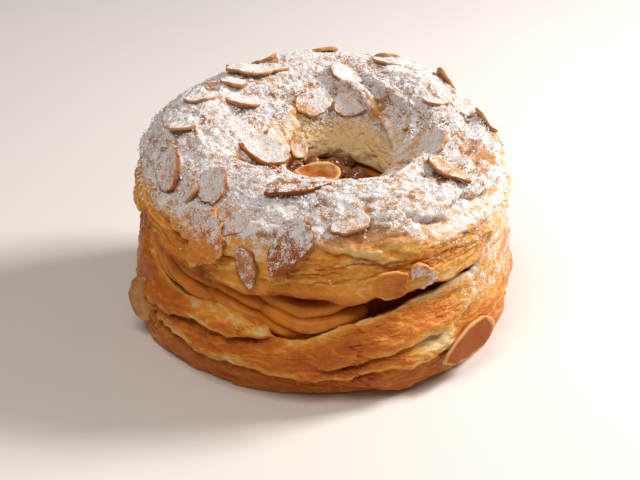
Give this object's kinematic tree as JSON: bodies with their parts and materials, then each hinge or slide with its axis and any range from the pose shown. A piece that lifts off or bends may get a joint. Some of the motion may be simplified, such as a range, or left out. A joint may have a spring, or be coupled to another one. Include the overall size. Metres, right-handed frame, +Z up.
{
  "type": "paris brest pastry",
  "caption": "Single-portion ring of choux pastry, cut in two, with piped praline cream between the halves, nuts in its hole and almond flakes on its crust.",
  "frame": {"origin": "on the flat underside, below the middle of the pastry's outline", "axes": "+Z up through the hole; -Y towards the side where the widest view of the cream is"},
  "size_m": [0.0946, 0.0956, 0.0594],
  "materials": {
    "crust": "baked choux crust, golden brown, matte with a slight sheen",
    "cream": "smooth praline cream, satin",
    "sugared_crust": "baked choux crust under powdered sugar, with almond flakes",
    "caramel_nuts": "caramelised nuts, glossy dark brown"
  },
  "bodies": {
    "root": {"choux_base": "crust", "praline_cream": "cream", "choux_lid": "sugared_crust", "praline_nuts": "caramel_nuts"}
  },
  "joints": []
}
